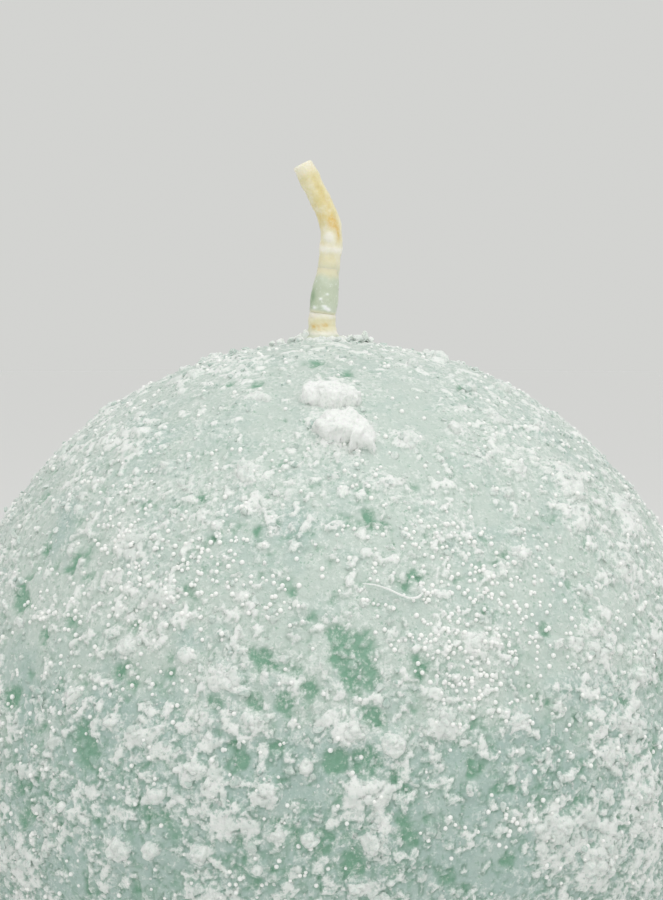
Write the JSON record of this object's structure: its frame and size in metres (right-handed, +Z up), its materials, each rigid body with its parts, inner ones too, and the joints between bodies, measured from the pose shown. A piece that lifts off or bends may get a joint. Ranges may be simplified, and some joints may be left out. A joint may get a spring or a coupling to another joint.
{
  "type": "ball candle",
  "caption": "Frosted ball candle: coloured wax ball crusted with white wax flakes and grains, flat foot, upright waxed wick bent at its end.",
  "frame": {"origin": "middle of the flat foot, on the surface that the candle stands on", "axes": "+Z up along the ball's axis and the wick's bore; the pictured front faces -Y; the wick's bent end leans towards -X"},
  "size_m": [0.0805, 0.0812, 0.095],
  "materials": {
    "white_wax": "pressed white paraffin wax",
    "green_wax": "pale green over-dip wax, satin",
    "frost_wax": "crumbly white frost wax, matt",
    "waxed_cotton": "braided cotton, primed with wax",
    "tinned_steel": "tin-plated sheet"
  },
  "bodies": {
    "root": {"wax_core": "white_wax", "overdip_coat": "green_wax", "frost_coat": "frost_wax", "wick_sustainer": "tinned_steel", "wick": "waxed_cotton", "wick_root_collar": "frost_wax", "wick_wax_sleeve": "green_wax", "frost_clump_upper": "frost_wax", "frost_clump_lower": "frost_wax", "frost_flakes_crown": "frost_wax", "frost_flakes_front": "frost_wax", "frost_flakes_right": "frost_wax", "frost_flakes_back": "frost_wax", "frost_flakes_left": "frost_wax", "frost_flakes_lower": "frost_wax"}
  },
  "joints": []
}
